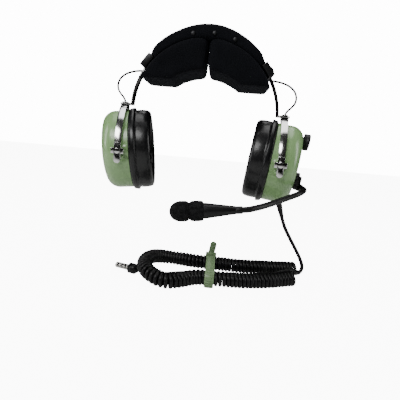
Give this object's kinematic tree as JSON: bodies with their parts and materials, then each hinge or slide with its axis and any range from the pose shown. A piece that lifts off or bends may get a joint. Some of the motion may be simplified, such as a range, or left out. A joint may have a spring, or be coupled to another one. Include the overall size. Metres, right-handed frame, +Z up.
{
  "type": "aviation headset",
  "caption": "Over-ear aviation headset with sprung headband, padded ear cups on swivelling stirrups, a boom microphone and a coiled cord ending in a four-contact plug.",
  "frame": {"origin": "midway between the two ear cups' tilt pivots, on the wearer's ear line", "axes": "+X to the wearer's left (the microphone side), -Y to the front, +Z up to the crown"},
  "size_m": [0.289, 0.1529, 0.3023],
  "materials": {
    "green_shell": "satin sage green moulded shell",
    "polished_steel": "polished stainless strip",
    "dark_steel": "blackened steel",
    "spring_steel": "blued spring strip",
    "plug_metal": "nickel plated contacts",
    "seal_vinyl": "glossy vinyl skin over soft filling",
    "pad_fabric": "blue-black woven cloth",
    "foam": "open cell foam",
    "black_plastic": "fine moulded texture",
    "black_rubber": "matte cord jacket",
    "tie_nylon": "sage green moulded strap",
    "board": "lacquered circuit board"
  },
  "bodies": {
    "headband": {"headband_springs": "spring_steel", "crossover_wire_band": "black_rubber", "pad_sleeve": "pad_fabric", "pad_cushion_left": "pad_fabric", "pad_cushion_right": "pad_fabric", "snap_fasteners": "dark_steel", "slide_block_left": "black_plastic", "slide_block_right": "black_plastic", "cord_lead": "black_rubber", "cord_coil": "black_rubber", "cord_tail": "black_rubber", "plug_boot": "black_rubber", "plug_contacts": "plug_metal", "plug_insulators": "black_plastic", "cable_tie": "tie_nylon"},
    "thumbscrew_left_body": {"thumbscrew_left": "polished_steel"},
    "stem_left_body": {"stem_left": "polished_steel", "swivel_rivet_left": "polished_steel", "crossover_loop_left": "black_rubber"},
    "stirrup_left_body": {"stirrup_left": "polished_steel", "stirrup_collar_left": "dark_steel", "pivot_clips_left": "polished_steel", "pivot_pins_left": "polished_steel"},
    "ear_cup_left_body": {"ear_dome_left": "green_shell", "ear_flange_left": "green_shell", "ear_seal_left": "seal_vinyl", "foam_liner_left": "foam", "speaker_baffle_left": "black_plastic", "speaker_left": "black_plastic", "wire_grommet_left": "black_rubber", "volume_pot": "polished_steel", "boom_bracket": "black_plastic", "strain_relief": "black_rubber", "circuit_board": "board"},
    "thumbscrew_right_body": {"thumbscrew_right": "polished_steel"},
    "stem_right_body": {"stem_right": "polished_steel", "swivel_rivet_right": "polished_steel", "crossover_loop_right": "black_rubber"},
    "stirrup_right_body": {"stirrup_right": "polished_steel", "stirrup_collar_right": "dark_steel", "pivot_clips_right": "polished_steel", "pivot_pins_right": "polished_steel"},
    "ear_cup_right_body": {"ear_dome_right": "green_shell", "ear_flange_right": "green_shell", "ear_seal_right": "seal_vinyl", "foam_liner_right": "foam", "speaker_baffle_right": "black_plastic", "speaker_right": "black_plastic", "wire_grommet_right": "black_rubber"},
    "volume_knob_body": {"volume_knob": "black_plastic"},
    "boom_knob_body": {"boom_knob": "black_plastic"},
    "boom_body": {"boom_clamp": "black_plastic", "boom_tube": "black_rubber", "boom_ferrule": "black_plastic", "mic_housing_front": "black_plastic", "mic_housing_rear": "black_plastic", "mic_capsule": "dark_steel", "mic_windscreen": "foam"}
  },
  "joints": [
    {"name": "thumbscrew_left_turn", "type": "hinge", "parent": "headband", "child": "thumbscrew_left_body", "pos_m": [0.07543, 0, 0.11249], "axis": [0.7923, 0, 0.6101], "range_deg": [-180, 180]},
    {"name": "stem_left_slide", "type": "hinge", "parent": "headband", "child": "stem_left_body", "pos_m": [0, 0, 0.0544], "axis": [0, 1, 0], "range_deg": [-2, 14], "deforming": ["cord_lead"]},
    {"name": "cup_left_swivel", "type": "hinge", "parent": "stem_left_body", "child": "stirrup_left_body", "pos_m": [0.105, 0, 0], "axis": [0, 0, 1], "range_deg": [-20, 20], "deforming": ["cord_lead"]},
    {"name": "cup_left_tilt", "type": "hinge", "parent": "stirrup_left_body", "child": "ear_cup_left_body", "pos_m": [0.105, 0, 0], "axis": [0.1288, 0.9917, 0], "range_deg": [-10, 2], "deforming": ["cord_lead"]},
    {"name": "thumbscrew_right_turn", "type": "hinge", "parent": "headband", "child": "thumbscrew_right_body", "pos_m": [-0.07543, 0, 0.11249], "axis": [-0.7923, 0, 0.6101], "range_deg": [-180, 180]},
    {"name": "stem_right_slide", "type": "hinge", "parent": "headband", "child": "stem_right_body", "pos_m": [0, 0, 0.0544], "axis": [0, -1, 0], "range_deg": [-2, 14]},
    {"name": "cup_right_swivel", "type": "hinge", "parent": "stem_right_body", "child": "stirrup_right_body", "pos_m": [-0.105, 0, 0], "axis": [0, 0, -1], "range_deg": [-20, 20]},
    {"name": "cup_right_tilt", "type": "hinge", "parent": "stirrup_right_body", "child": "ear_cup_right_body", "pos_m": [-0.105, 0, 0], "axis": [0.1288, -0.9917, 0], "range_deg": [-10, 2]},
    {"name": "volume_turn", "type": "hinge", "parent": "ear_cup_left_body", "child": "volume_knob_body", "pos_m": [0.13285, -0.00664, 0.0306], "axis": [0.9859, -0.128, -0.108], "range_deg": [-150, 150]},
    {"name": "boom_swing", "type": "hinge", "parent": "ear_cup_left_body", "child": "boom_body", "pos_m": [0.1267, -0.0129, -0.01811], "axis": [0.9859, -0.128, -0.108], "range_deg": [-65, 25]},
    {"name": "boom_knob_turn", "type": "hinge", "parent": "ear_cup_left_body", "child": "boom_knob_body", "pos_m": [0.1336, -0.0138, -0.01886], "axis": [0.9859, -0.128, -0.108], "range_deg": [-180, 180]}
  ]
}
